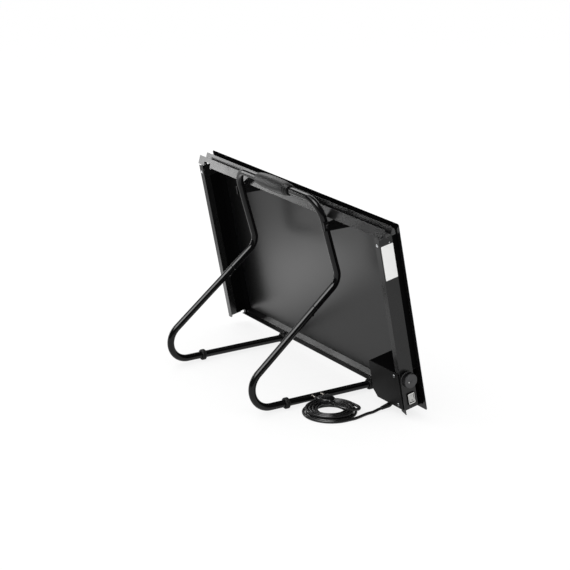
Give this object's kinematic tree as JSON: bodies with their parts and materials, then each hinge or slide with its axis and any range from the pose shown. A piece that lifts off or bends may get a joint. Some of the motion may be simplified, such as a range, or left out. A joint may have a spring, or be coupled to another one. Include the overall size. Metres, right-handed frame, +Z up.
{
  "type": "infrared panel heater",
  "caption": "Flat infrared panel heater leaning back in a bent tube stand, with a carrying grip, side thermostat knob, rocker switch and coiled mains cord",
  "frame": {"origin": "on the floor, under the middle of the heater's bounding box without its cord", "axes": "+X along the panel, away from the side with the knob and switch; +Y to the rear, the way the stand reaches; +Z up"},
  "size_m": [0.6054, 0.2667, 0.3665],
  "materials": {
    "panel_paint": "semi-gloss black powder coat",
    "black_paint": "satin black powder coat",
    "tube_paint": "gloss black powder coat",
    "element_foil": "matt foil",
    "mineral_board": "pressed mineral fibre",
    "zinc": "zinc plated",
    "grey_plastic": "satin grey",
    "pale_plastic": "satin off-white",
    "black_plastic": "fine textured black",
    "rubber": "matt black",
    "cord_rubber": "satin black",
    "live_sleeve": "brown insulation",
    "neutral_sleeve": "blue insulation",
    "pin_brass": "nickel plated brass"
  },
  "bodies": {
    "heater": {"back_tray": "panel_paint", "box_cover": "black_paint", "box_shell": "black_paint", "cable_gland": "black_plastic", "cord_coil": "cord_rubber", "cord_run": "cord_rubber", "cord_tail": "cord_rubber", "first_plug_pin": "pin_brass", "front_panel": "panel_paint", "hand_grip": "black_plastic", "heating_element": "element_foil", "insulation_board": "mineral_board", "left_cheek_rivet": "zinc", "left_foot_bolt": "black_paint", "left_foot_cap": "rubber", "left_gusset": "black_paint", "left_gusset_bolt": "zinc", "left_leg": "tube_paint", "left_lip_rivet": "zinc", "left_louvre_bracket": "black_paint", "left_rear_ring": "rubber", "left_side_rail": "black_paint", "left_splice_insert": "zinc", "left_splice_screw": "zinc", "live_wire": "live_sleeve", "lower_cover_screw": "zinc", "middle_louvre": "black_paint", "neutral_wire": "neutral_sleeve", "plug_body": "black_plastic", "rear_louvre": "black_paint", "right_cheek_rivet": "zinc", "right_foot_bolt": "black_paint", "right_foot_cap": "rubber", "right_gusset": "black_paint", "right_gusset_bolt": "zinc", "right_leg": "tube_paint", "right_lip_rivet": "zinc", "right_louvre_bracket": "black_paint", "right_rear_ring": "rubber", "right_side_rail": "black_paint", "right_splice_insert": "zinc", "right_splice_screw": "zinc", "second_plug_pin": "pin_brass", "stand_hoop": "tube_paint", "supply_wire": "live_sleeve", "switch_housing": "pale_plastic", "terminal_block": "pale_plastic", "thermal_cutout": "black_plastic", "thermostat_body": "black_plastic", "thermostat_nut": "zinc", "upper_cover_screw": "zinc"},
    "knob": {"thermostat_knob": "grey_plastic", "thermostat_spindle": "zinc"},
    "rocker": {"switch_rocker": "pale_plastic"}
  },
  "joints": [
    {"name": "knob_turn", "type": "hinge", "parent": "heater", "child": "knob", "pos_m": [-0.2907, -0.0852, 0.07192], "axis": [1, 0, 0], "range_deg": [0, 270]},
    {"name": "rocker_tilt", "type": "hinge", "parent": "heater", "child": "rocker", "pos_m": [-0.2868, -0.09496, 0.03562], "axis": [0, -0.9808, 0.1951], "range_deg": [0, 24]}
  ]
}
